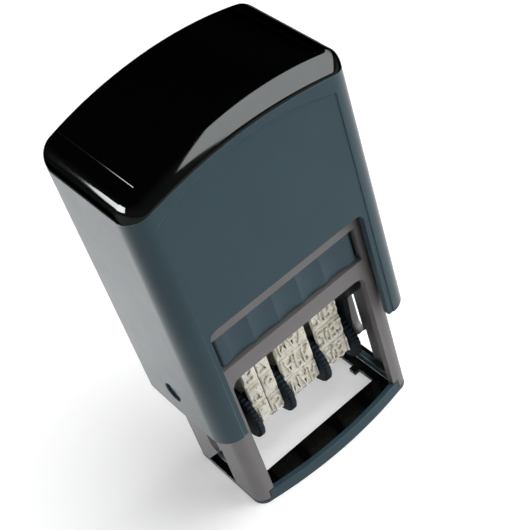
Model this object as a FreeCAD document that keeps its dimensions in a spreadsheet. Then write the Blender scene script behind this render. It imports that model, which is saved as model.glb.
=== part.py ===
import FreeCAD, Part
import math
import os
import Sketcher

# A hand-pressed date stamp that inks itself. The frame stands on a small base. The housing slides down
# over it on a spring and carries the print unit on two pivots. A pin on each cheek follows a track in
# the frame's side and turns the unit over, from the ink pad above to the paper below.
# Millimetres, +X to the right, +Y to the back, +Z up, origin under the middle of the base.

SIZES = [
    # print unit: how high it hangs at rest, its pivots and its cams
    ("pivot_height", 29.3),
    ("pivot_neck_radius", 1.4),
    ("pivot_hole_radius", 2.0),
    ("pivot_recess", 0.6),
    ("pivot_head_gap", 0.45),
    ("turning_fit", 0.08),
    ("pin_seat_fit", 0.02),
    ("slot_fit", 0.15),
    ("cheek_wall", 1.1),
    ("cam_radius", 6.5),
    ("cam_wall", 2.1),
    ("cam_fit", 0.25),
    ("cam_runner_gap", 0.2),
    ("cam_pin_radius", 0.9),
    ("cam_pin_inset", 1.0),
    ("cam_pin_gap", 0.05),
    ("track_floor", 0.6),
    ("track_fit", 0.15),
    ("arm_top_width", 8.0),
    ("arm_end_radius", 2.2),
    ("platen_thickness", 4.0),
    ("platen_corner", 0.5),
    ("platen_depth", 6.6),
    ("platen_end", 1.0),
    ("divider_rise", 0.9),
    # band wheels and bands
    ("wheel_drop", 16.1),
    ("wheel_radius", 5.8),
    ("wheel_disc", 1.35),
    ("wheel_hub_radius", 2.4),
    ("knurl_depth", 0.35),
    ("knurl_count", 30),
    ("knurl_tip", 0.02),
    ("knurl_reach_share", 1.3),
    ("axle_radius", 1.0),
    ("axle_fit", 0.05),
    ("stack_gap", 0.12),
    ("collar_length", 1.82),
    ("tens_width", 3.1),
    ("units_width", 2.8),
    ("month_width", 7.1),
    ("year_width", 5.9),
    ("band_thickness", 0.7),
    ("band_fit", 0.1),
    ("type_height", 0.8),
    ("type_length", 4.5),
    ("type_root_share", 0.8),
    ("row_count", 12),
    # ink pad cartridge
    ("felt_thickness", 2.6),
    ("felt_gap", 0.3),
    ("felt_fit", 0.1),
    ("pad_room", 2.05),
    ("pad_skirt", 2.0),
    ("pad_roof", 2.1),
    ("pad_setback", 0.5),
    ("pad_back_gap", 0.4),
    ("pad_corner", 0.6),
    ("pad_slot_gap", 0.7),
    ("pad_side_wall", 1.3),
    ("pad_back_wall", 1.2),
    ("grip_wall", 2.2),
    ("grip_margin", 1.85),
    ("flute_depth", 0.35),
    ("flute_count", 5),
    # inner frame
    ("frame_corner", 2.5),
    ("frame_side_wall", 1.5),
    ("frame_face_wall", 1.6),
    ("frame_room", 1.9),
    ("window_room", 0.3),
    ("window_corner", 2.0),
    ("crossbar_height", 3.6),
    ("ceiling_room", 0.5),
    ("ceiling_wall", 1.4),
    ("well_depth", 5.4),
    ("runner_wall", 1.0),
    ("runner_grip", 0.95),
    ("slide_gap", 0.3),
    ("loading_front", 2.4),
    ("loading_back", 5.7),
    ("loading_rise", 1.3),
    # base frame
    ("base_wall", 1.0),
    ("base_bulge", 1.5),
    ("lip_height", 2.8),
    ("lip_wall", 1.1),
    ("lip_fit", 0.15),
    ("paper_margin", 0.7),
    ("paper_room", 1.3),
    ("rail_height", 3.0),
    ("rail_wall", 1.1),
    ("rail_setback", 1.4),
    ("mark_width", 1.6),
    ("mark_length", 1.1),
    # housing and cap
    ("side_room", 1.25),
    ("face_room", 1.15),
    ("housing_wall", 1.6),
    ("housing_corner", 4.0),
    ("landing_gap", 1.0),
    ("foot_sag", 0.5),
    ("notch_inset", 1.0),
    ("notch_rise", 2.6),
    ("notch_corner", 1.5),
    ("press_room", 0.7),
    ("roof_wall", 1.6),
    ("mouth_depth", 3.0),
    ("crown_rise", 3.2),
    ("panel_recess", 0.2),
    ("panel_crown_gap", 1.4),
    ("panel_side_gap", 2.0),
    ("rib_width", 1.2),
    ("rib_side_inset", 2.0),
    ("rib_front_inset", 3.0),
    ("shoulder_rise", 0.4),
    ("cap_rise", 7.0),
    ("cap_wall", 1.2),
    ("cap_roof", 4.6),
    ("cap_steps", 5),
    ("plug_fit", 0.1),
    # return spring
    ("spring_radius", 5.0),
    ("spring_wire", 0.35),
    ("spring_turns", 5),
    ("spring_fit", 0.05),
    ("peg_length", 3.0),
    ("peg_wall", 1.4),
    ("peg_fit", 0.4),
    # one overrun for every cut that passes out of its piece
    ("overrun", 1.0),
]

doc = FreeCAD.newDocument("date_stamp")
sheet = doc.addObject("Spreadsheet::Sheet", "Size")
for row, (alias, value) in enumerate(SIZES, 1):
    sheet.set(f"A{row}", alias)
    sheet.set(f"B{row}", str(value))
    sheet.setAlias(f"B{row}", alias)
doc.recompute()
reader = doc.addObject("App::FeaturePython", "Reader")

# Places that several pieces share, worked out from the sheet. Across, they start from the bands and wheels.
STACK_LENGTH = (
    "(Size.tens_width + Size.units_width + Size.month_width + Size.year_width"
    " + 4 * Size.wheel_disc + 9 * Size.stack_gap + Size.collar_length)"
)
CHEEK_IN = f"({STACK_LENGTH} / 2)"
CHEEK_OUT = f"({CHEEK_IN} + Size.cheek_wall)"
CAM_OUT = f"({CHEEK_OUT} + Size.cam_wall)"
ROOM_X = f"({CAM_OUT} + Size.cam_fit)"
FRAME_X = f"({ROOM_X} + Size.frame_side_wall)"
IN_X = f"({FRAME_X} + Size.side_room)"
OUT_X = f"({IN_X} + Size.housing_wall)"
ROOM_Y = "(Size.cam_radius + Size.frame_room)"
FRAME_Y = f"({ROOM_Y} + Size.frame_face_wall)"
IN_Y = f"({FRAME_Y} + Size.face_room)"
OUT_Y = f"({IN_Y} + Size.housing_wall)"
ROOM_CORNER = "(Size.frame_corner - Size.frame_side_wall)"
HALF_WINDOW = f"({CHEEK_OUT} + Size.window_room)"
HALF_LIP = f"({FRAME_X} - Size.frame_corner)"
PAD_X = f"({ROOM_X} - Size.pad_room)"

# Up the part, they start from the paper, the pivots and the radius at which the type prints: at rest the
# type stands above the cams by the pad's skirt and the runner below it
PRINT_RADIUS = "(Size.cam_radius + Size.cam_runner_gap + Size.runner_wall + Size.slide_gap + Size.pad_skirt)"
STROKE = f"(Size.pivot_height - {PRINT_RADIUS})"
PRINT_TOP = f"(Size.pivot_height + {PRINT_RADIUS})"
FELT_BOTTOM = f"({PRINT_TOP} + Size.felt_gap)"
FELT_TOP = f"({FELT_BOTTOM} + Size.felt_thickness)"
TRAY_TOP = f"({FELT_TOP} + Size.felt_fit)"
PAD_TOP = f"({TRAY_TOP} + Size.pad_roof)"
PAD_BOTTOM = f"({PRINT_TOP} - Size.pad_skirt)"
RUNNER_TOP = f"({PAD_BOTTOM} - Size.slide_gap)"
WINDOW_TOP = f"({RUNNER_TOP} - Size.crossbar_height)"
CEILING = f"({PAD_TOP} + Size.slide_gap + Size.ceiling_room)"
CEILING_TOP = f"({CEILING} + Size.ceiling_wall)"
FRAME_TOP = f"({CEILING_TOP} + Size.well_depth)"
FOOT = f"({STROKE} + Size.lip_height + Size.landing_gap)"
NOTCH_TOP = f"({CEILING_TOP} + Size.notch_rise)"
ROOF = f"({FRAME_TOP} + {STROKE} + Size.press_room)"
ROOF_TOP = f"({ROOF} + Size.roof_wall)"
SIDE_TOP = f"({ROOF_TOP} + Size.mouth_depth)"
CROWN_TOP = f"({SIDE_TOP} + Size.crown_rise)"
SHOULDER = f"({SIDE_TOP} + Size.shoulder_rise)"
TOP = f"({SHOULDER} + Size.cap_rise)"

# The print unit's own places
NECK_SLOT = "(Size.pivot_neck_radius + Size.slot_fit)"
HEAD_RADIUS = "(Size.pivot_hole_radius - Size.turning_fit)"
CAM_ORBIT = "(Size.cam_radius - Size.cam_pin_inset)"
TRACK_DEPTH = "(Size.frame_side_wall - Size.track_floor)"
BAND_OUT = "(Size.band_thickness + Size.type_height)"
HALF_PLATEN = "(Size.platen_thickness / 2)"
PLATEN_TOP = f"({PRINT_TOP} - {BAND_OUT} - Size.band_fit)"
WHEEL_Z = "(Size.pivot_height - Size.wheel_drop)"
BORE = "(Size.axle_radius + Size.axle_fit)"


def number(expression):
    """The value of an expression with the present sizes, in millimetres."""
    return float(reader.evalExpression(expression))


def new_body(label):
    """An empty body, named as its piece is."""
    body = doc.addObject("PartDesign::Body", label)
    body.Label = label
    return body


def sketch_on(body, name, plane, lift="0"):
    """A sketch on one of the body's own origin planes, lifted along the plane's normal."""
    sketch = body.newObject("Sketcher::SketchObject", f"{body.Name}_{name}")
    origin = next(f for f in body.Origin.OriginFeatures if f.Role == plane)
    sketch.AttachmentSupport = (origin, "")
    sketch.MapMode = "FlatFace"
    sketch.setExpression("AttachmentOffset.Base.z", lift)
    return sketch


def bind(sketch, kind, places, expression):
    """Adds a constraint of the given kind, driven by an expression."""
    index = sketch.addConstraint(Sketcher.Constraint(kind, *places, number(expression)))
    sketch.setExpression(f"Constraints[{index}]", expression)


def outline(sketch, corners):
    """Closes a loop through corners, each (across, up) or (across, up, radius, turn).

    A corner with a radius starts an arc to the next corner. It turns left for 1, right for -1.
    """
    first = sketch.GeometryCount
    points = [FreeCAD.Vector(number(c[0]), number(c[1]), 0) for c in corners]
    starts, ends = [], []
    for i, corner in enumerate(corners):
        here, there = points[i], points[(i + 1) % len(points)]
        if len(corner) == 2:
            sketch.addGeometry(Part.LineSegment(here, there), False)
            starts.append(1)
            ends.append(2)
            continue
        radius, turn = number(corner[2]), corner[3]
        half = (there - here) / 2
        left = FreeCAD.Vector(-half.y, half.x, 0).normalize()
        reach = math.sqrt(max(radius ** 2 - half.Length ** 2, 0))
        centre = here + half + left * turn * reach
        angles = [math.atan2(p.y - centre.y, p.x - centre.x) for p in (here, there)]
        circle = Part.Circle(centre, FreeCAD.Vector(0, 0, 1), radius)
        sketch.addGeometry(Part.ArcOfCircle(circle, *angles[::turn]), False)
        starts.append(1 if turn == 1 else 2)
        ends.append(2 if turn == 1 else 1)
    for i, corner in enumerate(corners):
        after = (i + 1) % len(corners)
        sketch.addConstraint(
            Sketcher.Constraint("Coincident", first + i, ends[i], first + after, starts[after])
        )
        bind(sketch, "DistanceX", (-1, 1, first + i, starts[i]), corner[0])
        bind(sketch, "DistanceY", (-1, 1, first + i, starts[i]), corner[1])
        if len(corner) == 4:
            bind(sketch, "Radius", (first + i,), corner[2])


def rectangle(sketch, left, bottom, right, top):
    """A plain rectangle between two corners."""
    outline(sketch, [(left, bottom), (right, bottom), (right, top), (left, top)])


def round_rectangle(sketch, half_x, half_y, corner):
    """A rectangle about the origin with four equal round corners."""
    near_x, near_y = f"{half_x} - {corner}", f"{half_y} - {corner}"
    outline(
        sketch,
        [
            (f"-({near_x})", f"-({half_y})"),
            (near_x, f"-({half_y})", corner, 1),
            (half_x, f"-({near_y})"),
            (half_x, near_y, corner, 1),
            (near_x, half_y),
            (f"-({near_x})", half_y, corner, 1),
            (f"-({half_x})", near_y),
            (f"-({half_x})", f"-({near_y})", corner, 1),
        ],
    )


def circle(sketch, across, up, radius):
    """A full circle with its centre and radius bound."""
    index = sketch.GeometryCount
    centre = FreeCAD.Vector(number(across), number(up), 0)
    sketch.addGeometry(Part.Circle(centre, FreeCAD.Vector(0, 0, 1), number(radius)), False)
    bind(sketch, "DistanceX", (-1, 1, index, 3), across)
    bind(sketch, "DistanceY", (-1, 1, index, 3), up)
    bind(sketch, "Radius", (index,), radius)


def pad(body, sketch, length, middle=False, back=False):
    """Adds the sketch's area, carried along its normal, both ways alike or backwards."""
    feature = body.newObject("PartDesign::Pad", sketch.Name + "_pad")
    feature.Profile = sketch
    feature.Midplane = middle
    feature.Reversed = back
    feature.setExpression("Length", length)
    finish_feature(feature)
    return feature


def pocket(body, sketch, length=None, middle=False, forward=False):
    """Cuts the sketch's area against its normal, or forward along it; right through with no length."""
    before = body.Shape.Volume
    feature = body.newObject("PartDesign::Pocket", sketch.Name + "_cut")
    feature.Profile = sketch
    feature.Midplane = middle
    feature.Reversed = forward
    if length is None:
        feature.Type = "ThroughAll"
    else:
        feature.setExpression("Length", length)
    finish_feature(feature)
    if not feature.Shape.Volume < before:
        raise RuntimeError(f"{feature.Name} cuts nothing")
    return feature


def revolve(body, sketch, angle, axis, middle=False, back=False):
    """Turns the sketch's area about one of its own axes through an angle in degrees."""
    feature = body.newObject("PartDesign::Revolution", sketch.Name + "_turned")
    feature.Profile = sketch
    feature.ReferenceAxis = (sketch, [axis])
    feature.Midplane = middle
    feature.Reversed = back
    feature.setExpression("Angle", angle)
    finish_feature(feature)


def finish_feature(feature):
    """Recomputes and stops at a feature that failed."""
    feature.Visibility = False
    doc.recompute()
    if "Invalid" in feature.State or "Error" in feature.State:
        raise RuntimeError(f"{feature.Name} failed: {feature.State}")


def round_edges(body, name, radius, wanted):
    """Rounds the edges of the body for which wanted(edge) holds."""
    base = body.Tip
    names = [f"Edge{i}" for i, edge in enumerate(base.Shape.Edges, 1) if wanted(edge)]
    feature = body.newObject("PartDesign::Fillet", f"{body.Name}_{name}")
    feature.Base = (base, names)
    feature.setExpression("Radius", radius)
    finish_feature(feature)


def upright(edge):
    """True for a straight edge along Z."""
    along = edge.Vertexes[-1].Point - edge.Vertexes[0].Point
    return math.hypot(along.x, along.y) < 1e-6 < abs(along.z)


def crown_radius(half_width, rise):
    """The radius of an arc with a given half chord and rise."""
    return f"(({half_width}) ^ 2 + ({rise}) ^ 2) / (2 * ({rise}))"


CROWN = crown_radius(OUT_X, "Size.crown_rise")


def add_peg(body, seat, back=False):
    """A peg of crossed walls that centres the spring on its seat."""
    reach = "(Size.spring_radius - Size.spring_wire - Size.peg_fit)"
    half = "(Size.peg_wall / 2)"
    view = sketch_on(body, "peg", "XY_Plane", seat)
    outline(
        view,
        [
            (f"-{half}", f"-{reach}"),
            (half, f"-{reach}"),
            (half, f"-{half}"),
            (reach, f"-{half}"),
            (reach, half),
            (half, half),
            (half, reach),
            (f"-{half}", reach),
            (f"-{half}", half),
            (f"-{reach}", half),
            (f"-{reach}", f"-{half}"),
            (f"-{half}", f"-{half}"),
        ],
    )
    pad(body, view, "Size.peg_length", back=back)


# Outer housing: a deep plastic cover, open below, with a notch front and back and a web inside as roof
housing = new_body("outer_housing")
view = sketch_on(housing, "front", "XZ_Plane")
outline(
    view,
    [
        (f"-{OUT_X}", FOOT),
        (OUT_X, FOOT),
        (OUT_X, SIDE_TOP, CROWN, 1),
        (f"-{OUT_X}", SIDE_TOP),
    ],
)
pad(housing, view, f"2 * {OUT_Y}", middle=True)
round_edges(housing, "corners", "Size.housing_corner", upright)

view = sketch_on(housing, "feet", "YZ_Plane")
SAG = crown_radius(OUT_Y, "Size.foot_sag")
outline(
    view,
    [
        (f"-{OUT_Y}", f"{FOOT} - Size.overrun"),
        (OUT_Y, f"{FOOT} - Size.overrun"),
        (OUT_Y, f"{FOOT} + Size.foot_sag", SAG, -1),
        (f"-{OUT_Y}", f"{FOOT} + Size.foot_sag"),
    ],
)
pocket(housing, view, middle=True)

view = sketch_on(housing, "hollow", "XY_Plane", f"{FOOT} - Size.overrun")
round_rectangle(view, IN_X, IN_Y, "(Size.housing_corner - Size.housing_wall)")
pocket(housing, view, f"{ROOF} - {FOOT} + Size.overrun", forward=True)

view = sketch_on(housing, "mouth", "XY_Plane", ROOF_TOP)
round_rectangle(view, IN_X, IN_Y, "(Size.housing_corner - Size.housing_wall)")
pocket(housing, view, forward=True)

view = sketch_on(housing, "notch", "XZ_Plane")
HALF_PANEL = f"({OUT_X} - Size.housing_corner)"
HALF_NOTCH = f"({HALF_PANEL} - Size.notch_inset)"
outline(
    view,
    [
        (f"-{HALF_NOTCH}", f"{FOOT} - Size.overrun"),
        (HALF_NOTCH, f"{FOOT} - Size.overrun"),
        (HALF_NOTCH, f"{NOTCH_TOP} - Size.notch_corner", "Size.notch_corner", 1),
        (f"{HALF_NOTCH} - Size.notch_corner", NOTCH_TOP),
        (f"-({HALF_NOTCH} - Size.notch_corner)", NOTCH_TOP, "Size.notch_corner", 1),
        (f"-{HALF_NOTCH}", f"{NOTCH_TOP} - Size.notch_corner"),
    ],
)
pocket(housing, view, middle=True)

view = sketch_on(housing, "pivot_holes", "YZ_Plane")
circle(view, "0", "Size.pivot_height", "Size.pivot_hole_radius")
pocket(housing, view, middle=True)

# the flat panel front and back lies a little below the round corners beside it
PANEL_SIDE = f"({SIDE_TOP} - Size.panel_side_gap)"
PANEL_ARCH = crown_radius(HALF_PANEL, f"({CROWN_TOP} - Size.panel_crown_gap - {PANEL_SIDE})")
for name, lift, forward in (("panel_front", OUT_Y, False), ("panel_back", f"-{OUT_Y}", True)):
    view = sketch_on(housing, name, "XZ_Plane", lift)
    outline(
        view,
        [
            (f"-{HALF_PANEL}", f"{FOOT} - Size.overrun"),
            (HALF_PANEL, f"{FOOT} - Size.overrun"),
            (HALF_PANEL, PANEL_SIDE, PANEL_ARCH, 1),
            (f"-{HALF_PANEL}", PANEL_SIDE),
        ],
    )
    pocket(housing, view, "Size.panel_recess", forward=forward)

# ribs inside guide the housing on the frame, and a peg under the roof centres the spring
view = sketch_on(housing, "side_ribs", "XY_Plane", f"{FOOT} + Size.rib_width")
for across in (-1, 1):
    for along in (-1, 1):
        middle = f"({along} * ({FRAME_Y} - Size.rib_side_inset))"
        rib = [f"({FRAME_X} + Size.slide_gap)", IN_X]
        left, right = [f"({across} * {x})" for x in rib[::across]]
        rectangle(view, left, f"{middle} - Size.rib_width / 2", right, f"{middle} + Size.rib_width / 2")
pad(housing, view, f"{ROOF} - {FOOT} - Size.rib_width")

view = sketch_on(housing, "face_ribs", "XY_Plane", f"{NOTCH_TOP} + Size.rib_width")
for across in (-1, 1):
    for along in (-1, 1):
        middle = f"({across} * ({HALF_WINDOW} - Size.rib_front_inset))"
        rib = [f"({FRAME_Y} + Size.slide_gap)", IN_Y]
        low, high = [f"({along} * {y})" for y in rib[::along]]
        rectangle(view, f"{middle} - Size.rib_width / 2", low, f"{middle} + Size.rib_width / 2", high)
pad(housing, view, f"{ROOF} - {NOTCH_TOP} - Size.rib_width")

add_peg(housing, ROOF, back=True)

def stepped_corner(across, up, start):
    """Corners along a quarter round about a centre, from an angle in degrees, in even flat steps."""
    steps = int(number("Size.cap_steps"))
    corners = []
    for i in range(steps + 1):
        angle = f"({start} deg + {i} * 90 deg / Size.cap_steps)"
        corners.append(
            (
                f"{across} + Size.housing_corner * cos({angle})",
                f"{up} + Size.housing_corner * sin({angle})",
            )
        )
    return corners


# Top cap: a gloss moulding with an arched top and dropped shoulders, plugged into the housing's mouth
cap = new_body("top_cap")
FLAT_Y = f"({OUT_Y} - Size.housing_corner)"
CAP_FOOT = f"({SIDE_TOP} - Size.overrun)"
CORE_ARCH = crown_radius(HALF_PANEL, "Size.cap_rise - Size.housing_corner")
ARCH = f"({CORE_ARCH} + Size.housing_corner)"
ARCH_CENTRE = f"({TOP} - {ARCH})"
ARCH_ANGLE = f"asin({HALF_PANEL} / ({CORE_ARCH}))"

view = sketch_on(cap, "rim", "XY_Plane", CAP_FOOT)
outline(
    view,
    stepped_corner(HALF_PANEL, FLAT_Y, 0)
    + stepped_corner(f"-{HALF_PANEL}", FLAT_Y, 90)
    + stepped_corner(f"-{HALF_PANEL}", f"-{FLAT_Y}", 180)
    + stepped_corner(HALF_PANEL, f"-{FLAT_Y}", 270),
)
pad(cap, view, f"{SHOULDER} - {CAP_FOOT}")

view = sketch_on(cap, "core", "XZ_Plane")
outline(
    view,
    [
        (f"-{HALF_PANEL}", CAP_FOOT),
        (HALF_PANEL, CAP_FOOT),
        (HALF_PANEL, SHOULDER, CORE_ARCH, 1),
        (f"-{HALF_PANEL}", SHOULDER),
    ],
)
pad(cap, view, f"2 * {OUT_Y}", middle=True)

# the arched top is turned about the arch's own centre, with its front and back edges round
view = sketch_on(cap, "crest", "YZ_Plane")
view.setExpression("AttachmentOffset.Base.y", ARCH_CENTRE)
outline(view, stepped_corner(FLAT_Y, CORE_ARCH, 0) + stepped_corner(f"-{FLAT_Y}", CORE_ARCH, 90))
revolve(cap, view, f"2 * {ARCH_ANGLE}", axis="H_Axis", middle=True)

# each shoulder carries the same section on, round the centre of its own corner
sections = {
    -1: stepped_corner("0", FLAT_Y, 90) + stepped_corner("0", f"-{FLAT_Y}", 180),
    1: stepped_corner("0", f"-{FLAT_Y}", 270) + stepped_corner("0", FLAT_Y, 0),
}
for name, side in (("left", -1), ("right", 1)):
    view = sketch_on(cap, f"{name}_shoulder", "XY_Plane", SHOULDER)
    view.setExpression("AttachmentOffset.Base.x", f"{side} * {HALF_PANEL}")
    outline(view, sections[side])
    revolve(cap, view, f"90 deg - {ARCH_ANGLE}", axis="V_Axis", back=side > 0)

view = sketch_on(cap, "foot", "XZ_Plane")
outline(
    view,
    [
        (f"-{OUT_X}", f"{CAP_FOOT} - Size.overrun"),
        (OUT_X, f"{CAP_FOOT} - Size.overrun"),
        (OUT_X, SIDE_TOP, CROWN, 1),
        (f"-{OUT_X}", SIDE_TOP),
    ],
)
pocket(cap, view, middle=True)

# the plug fits inside the housing's walls and stands just above its roof
PLUG_X = f"({IN_X} - Size.plug_fit)"
PLUG_Y = f"({IN_Y} - Size.plug_fit)"
PLUG_CORNER = "(Size.housing_corner - Size.housing_wall - Size.plug_fit)"
view = sketch_on(cap, "plug", "XY_Plane", f"{ROOF_TOP} + Size.plug_fit")
round_rectangle(view, PLUG_X, PLUG_Y, PLUG_CORNER)
pad(cap, view, f"{CROWN_TOP} - {ROOF_TOP} - Size.plug_fit")
view = sketch_on(cap, "cavity", "XY_Plane", ROOF_TOP)
round_rectangle(
    view,
    f"({PLUG_X} - Size.cap_wall)",
    f"({PLUG_Y} - Size.cap_wall)",
    f"({PLUG_CORNER} - Size.cap_wall)",
)
pocket(cap, view, f"{TOP} - Size.cap_roof - {ROOF_TOP}", forward=True)

# Inner frame: the upright box that stands still, open front and back, with a shelf over the ink pad
frame = new_body("inner_frame_box")
view = sketch_on(frame, "block", "XY_Plane", "Size.base_wall")
round_rectangle(view, FRAME_X, FRAME_Y, "Size.frame_corner")
pad(frame, view, f"{FRAME_TOP} - Size.base_wall")
view = sketch_on(frame, "room", "XY_Plane", "Size.base_wall - Size.overrun")
round_rectangle(view, ROOM_X, ROOM_Y, ROOM_CORNER)
pocket(frame, view, f"{CEILING} - Size.base_wall + Size.overrun", forward=True)
view = sketch_on(frame, "spring_well", "XY_Plane", CEILING_TOP)
round_rectangle(view, ROOM_X, ROOM_Y, ROOM_CORNER)
pocket(frame, view, forward=True)

view = sketch_on(frame, "windows", "XZ_Plane")
outline(
    view,
    [
        (f"-{HALF_WINDOW}", "Size.base_wall - Size.overrun"),
        (HALF_WINDOW, "Size.base_wall - Size.overrun"),
        (HALF_WINDOW, f"{WINDOW_TOP} - Size.window_corner", "Size.window_corner", 1),
        (f"{HALF_WINDOW} - Size.window_corner", WINDOW_TOP),
        (f"-({HALF_WINDOW} - Size.window_corner)", WINDOW_TOP, "Size.window_corner", 1),
        (f"-{HALF_WINDOW}", f"{WINDOW_TOP} - Size.window_corner"),
    ],
)
pocket(frame, view, middle=True)

view = sketch_on(frame, "pad_slot", "XZ_Plane", f"{FRAME_Y} + Size.overrun")
rectangle(
    view,
    f"-({PAD_X} + Size.pad_slot_gap)",
    RUNNER_TOP,
    f"{PAD_X} + Size.pad_slot_gap",
    f"{PAD_TOP} + Size.slide_gap",
)
pocket(frame, view, "Size.frame_face_wall + 2 * Size.overrun")

# runners along both sides carry the cartridge
view = sketch_on(frame, "runners", "XZ_Plane")
for side in (-1, 1):
    places = [f"({PAD_X} - Size.runner_grip)", f"({FRAME_X} - Size.frame_side_wall / 2)"]
    left, right = [f"({side} * {x})" for x in places[::side]]
    rectangle(view, left, f"{RUNNER_TOP} - Size.runner_wall", right, RUNNER_TOP)
pad(frame, view, f"2 * {ROOM_Y}", middle=True)

view = sketch_on(frame, "pivot_slots", "YZ_Plane")
outline(
    view,
    [
        (f"-{NECK_SLOT}", PRINT_RADIUS, NECK_SLOT, 1),
        ("0", f"{PRINT_RADIUS} - {NECK_SLOT}", NECK_SLOT, 1),
        (NECK_SLOT, PRINT_RADIUS),
        (NECK_SLOT, "Size.pivot_height", NECK_SLOT, 1),
        ("0", f"Size.pivot_height + {NECK_SLOT}", NECK_SLOT, 1),
        (f"-{NECK_SLOT}", "Size.pivot_height"),
    ],
)
pocket(frame, view, middle=True)

# the lower end of each side opens towards the back, where the pivots are put in
view = sketch_on(frame, "loading_slots", "YZ_Plane")
outline(
    view,
    [
        ("-Size.loading_front", "Size.base_wall - Size.overrun"),
        ("Size.loading_back", "Size.base_wall - Size.overrun"),
        ("Size.loading_back", "Size.base_wall"),
        ("-Size.loading_front", f"{PRINT_RADIUS} + Size.loading_rise"),
    ],
)
pocket(frame, view, middle=True)

view = sketch_on(frame, "post_notches", "XY_Plane", "Size.base_wall - Size.overrun")
for side in (-1, 1):
    places = [f"-{FRAME_Y} - Size.overrun", f"-({FRAME_Y} - Size.lip_wall - Size.lip_fit)"]
    low, high = [f"({side} * ({y}))" for y in places[::side]]
    rectangle(
        view,
        f"-({HALF_LIP} + Size.lip_fit)",
        low,
        f"{HALF_LIP} + Size.lip_fit",
        high,
    )
pocket(frame, view, "Size.lip_height + Size.lip_fit - Size.base_wall + Size.overrun", forward=True)

add_peg(frame, CEILING_TOP)


def cam_track(side):
    """The track that a cam pin runs in, cut into the inner face of the frame's side.

    While the pivot goes down by the stroke, the print unit turns half round at a steady rate, so the
    pin's path is a circle stretched downwards: y = orbit sin(turn), z = pivot + orbit cos(turn) - drop.
    """
    orbit, half = number(CAM_ORBIT), number("Size.cam_pin_radius + Size.track_fit")
    top, stroke = number("Size.pivot_height"), number(STROKE)
    inner = number(ROOM_X)
    depth = number(TRACK_DEPTH)
    lines = {1: [], -1: []}
    steps = 24
    for i in range(steps + 1):
        turn = math.pi * i / steps
        y = orbit * math.sin(turn)
        z = top - stroke * turn / math.pi + orbit * math.cos(turn)
        dy = orbit * math.cos(turn)
        dz = -stroke / math.pi - orbit * math.sin(turn)
        reach = half / math.hypot(dy, dz)
        for edge in lines:
            lines[edge].append(FreeCAD.Vector(inner, y + edge * dz * reach, z - edge * dy * reach))
    corners = lines[1] + lines[-1][::-1]
    track = Part.Face(Part.makePolygon(corners + corners[:1])).extrude(FreeCAD.Vector(depth, 0, 0))
    for turn in (0, 1):
        centre = FreeCAD.Vector(inner, 0, top - stroke * turn + orbit * (1 - 2 * turn))
        track = track.fuse(Part.makeCylinder(half, depth, centre, FreeCAD.Vector(1, 0, 0)))
    track = track.removeSplitter()
    return track if side > 0 else track.mirror(FreeCAD.Vector(), FreeCAD.Vector(1, 0, 0))


tracks = doc.addObject("Part::Feature", "cam_tracks")
tracks.Shape = Part.makeCompound([cam_track(-1), cam_track(1)])
inner_frame = doc.addObject("Part::Cut", "inner_frame")
inner_frame.Base = frame
inner_frame.Tool = tracks
doc.recompute()

# Base frame: a flat moulding under the frame, with a curved lip front and back and an open middle
base = new_body("base_frame")
BULGE = crown_radius(HALF_LIP, "Size.base_bulge")
view = sketch_on(base, "plate", "XY_Plane")
outline(
    view,
    [
        (f"-{FRAME_X}", f"-({FRAME_Y} - Size.frame_corner)", "Size.frame_corner", 1),
        (f"-{HALF_LIP}", f"-{FRAME_Y}", BULGE, 1),
        (HALF_LIP, f"-{FRAME_Y}", "Size.frame_corner", 1),
        (FRAME_X, f"-({FRAME_Y} - Size.frame_corner)"),
        (FRAME_X, f"{FRAME_Y} - Size.frame_corner", "Size.frame_corner", 1),
        (HALF_LIP, FRAME_Y, BULGE, 1),
        (f"-{HALF_LIP}", FRAME_Y, "Size.frame_corner", 1),
        (f"-{FRAME_X}", f"{FRAME_Y} - Size.frame_corner"),
    ],
)
pad(base, view, "Size.base_wall")

view = sketch_on(base, "lips", "XY_Plane", "Size.base_wall")
for side in (-1, 1):
    edge, inner = f"({side} * {FRAME_Y})", f"({side} * ({FRAME_Y} - Size.lip_wall))"
    outline(
        view,
        [
            (f"-{HALF_LIP}", edge, BULGE, -side),
            (HALF_LIP, edge),
            (HALF_LIP, inner, f"({BULGE} - Size.lip_wall)", side),
            (f"-{HALF_LIP}", inner),
        ],
    )
pad(base, view, "Size.lip_height - Size.base_wall")

view = sketch_on(base, "print_window", "XY_Plane")
PAPER_X = f"({CHEEK_OUT} - Size.paper_margin)"
PAPER_Y = f"({HALF_PLATEN} + {BAND_OUT} + Size.paper_room)"
rectangle(view, f"-{PAPER_X}", f"-{PAPER_Y}", PAPER_X, PAPER_Y)
pocket(base, view, middle=True)

# rails inside the frame's sides, and a small mark at the middle of each side of the window
view = sketch_on(base, "rails", "XY_Plane", "Size.base_wall")
for side in (-1, 1):
    places = [f"({ROOM_X} - Size.lip_fit - Size.rail_wall)", f"({ROOM_X} - Size.lip_fit)"]
    left, right = [f"({side} * {x})" for x in places[::side]]
    rectangle(view, left, f"-({ROOM_Y} - Size.rail_setback)", right, f"{ROOM_Y} - Size.rail_setback")
pad(base, view, "Size.rail_height - Size.base_wall")
view = sketch_on(base, "marks", "XY_Plane")
for side in (-1, 1):
    places = [f"({PAPER_X} - Size.mark_length)", PAPER_X]
    left, right = [f"({side} * {x})" for x in places[::side]]
    rectangle(view, left, "-Size.mark_width / 2", right, "Size.mark_width / 2")
pad(base, view, "Size.base_wall")

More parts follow.
